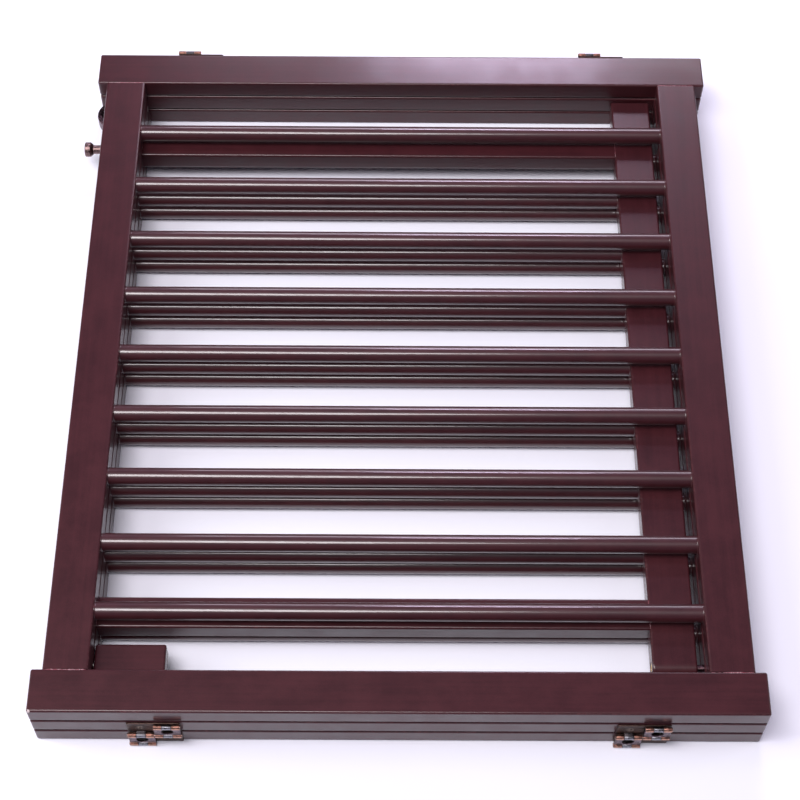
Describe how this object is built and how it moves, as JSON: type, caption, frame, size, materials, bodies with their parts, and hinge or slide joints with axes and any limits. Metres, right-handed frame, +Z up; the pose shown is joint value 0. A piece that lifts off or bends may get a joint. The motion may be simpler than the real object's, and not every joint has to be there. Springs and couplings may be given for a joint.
{
  "type": "folding pet gate",
  "caption": "Freestanding wooden pet gate of barred panels hinged in a Z, with a walk-through door and drop-rod latch in the middle panel, folded flat.",
  "frame": {"origin": "centre of the base of the bounding box, the gate folded and lying on its right panel", "axes": "+X from the gate's top to its feet, +Y across the panels from the near hinge line to the far one, +Z up through the stacked panels"},
  "size_m": [0.6208, 0.7234, 0.0602],
  "materials": {
    "lacquered_timber": "semi-gloss dark mahogany lacquer",
    "lacquered_bar": "semi-gloss dark mahogany lacquer",
    "hinge_copper": "antique copper plate, rubbed on the knuckles",
    "hinge_pin_copper": "rubbed copper plate",
    "screw_bronze": "dark bronze plate",
    "latch_bronze": "satin brown bronze plate",
    "pull_bronze": "dark brown bronze plate",
    "plated_steel": "zinc plate",
    "pivot_brass": "plain brass"
  },
  "bodies": {
    "right_panel": {"right_bar_1": "lacquered_bar", "right_bar_2": "lacquered_bar", "right_bar_3": "lacquered_bar", "right_bar_4": "lacquered_bar", "right_bar_5": "lacquered_bar", "right_bar_6": "lacquered_bar", "right_bar_7": "lacquered_bar", "right_bar_8": "lacquered_bar", "right_bar_9": "lacquered_bar", "right_bottom_rail": "lacquered_timber", "right_free_stile": "lacquered_timber", "right_hinge_leaves": "hinge_copper", "right_hinge_links": "hinge_copper", "right_hinge_pins": "hinge_pin_copper", "right_hinge_screws": "screw_bronze", "right_hinged_stile": "lacquered_timber", "right_top_rail": "lacquered_timber"},
    "centre_panel": {"centre_far_post": "lacquered_timber", "centre_hinge_leaves": "hinge_copper", "centre_hinge_links": "hinge_copper", "centre_hinge_pins": "hinge_pin_copper", "centre_hinge_screws": "screw_bronze", "centre_near_post": "lacquered_timber", "threshold_rail": "lacquered_timber", "pivot_block": "lacquered_timber", "top_pivot_pin": "plated_steel"},
    "left_panel": {"left_bar_1": "lacquered_bar", "left_bar_2": "lacquered_bar", "left_bar_3": "lacquered_bar", "left_bar_4": "lacquered_bar", "left_bar_5": "lacquered_bar", "left_bar_6": "lacquered_bar", "left_bar_7": "lacquered_bar", "left_bar_8": "lacquered_bar", "left_bar_9": "lacquered_bar", "left_bottom_rail": "lacquered_timber", "left_free_stile": "lacquered_timber", "left_hinge_leaves": "hinge_copper", "left_hinge_links": "hinge_copper", "left_hinge_pins": "hinge_pin_copper", "left_hinge_screws": "screw_bronze", "left_hinged_stile": "lacquered_timber", "left_top_rail": "lacquered_timber"},
    "door": {"door_bar_1": "lacquered_bar", "door_bar_2": "lacquered_bar", "door_bar_3": "lacquered_bar", "door_bar_4": "lacquered_bar", "door_bar_5": "lacquered_bar", "door_bar_6": "lacquered_bar", "door_bar_7": "lacquered_bar", "door_bottom_rail": "lacquered_timber", "door_hinge_stile": "lacquered_timber", "door_latch_stile": "lacquered_timber", "door_pull": "pull_bronze", "door_top_rail": "lacquered_timber", "pull_screws": "plated_steel", "bottom_pivot_bolt": "pivot_brass", "pivot_washer": "latch_bronze"},
    "latch": {"latch_knob": "latch_bronze", "latch_rod": "latch_bronze"}
  },
  "joints": [
    {"name": "centre_panel_fold", "type": "hinge", "parent": "right_panel", "child": "centre_panel", "pos_m": [0, -0.3595, 0.0198], "axis": [1, 0, 0], "range_deg": [0, 180]},
    {"name": "left_panel_fold", "type": "hinge", "parent": "centre_panel", "child": "left_panel", "pos_m": [0, 0.3595, 0.04035], "axis": [-1, 0, 0], "range_deg": [0, 180]},
    {"name": "door_swing", "type": "hinge", "parent": "centre_panel", "child": "door", "pos_m": [0, -0.30162, 0.03008], "axis": [-1, 0, 0], "range_deg": [0, 90]},
    {"name": "latch_drop", "type": "slide", "parent": "door", "child": "latch", "axis": [1, 0, 0], "range_m": [0, 0.0119]}
  ],
  "couplings": [
    {"joint": "door_swing", "follows": "centre_panel_fold", "ratio": 0.5}
  ]
}
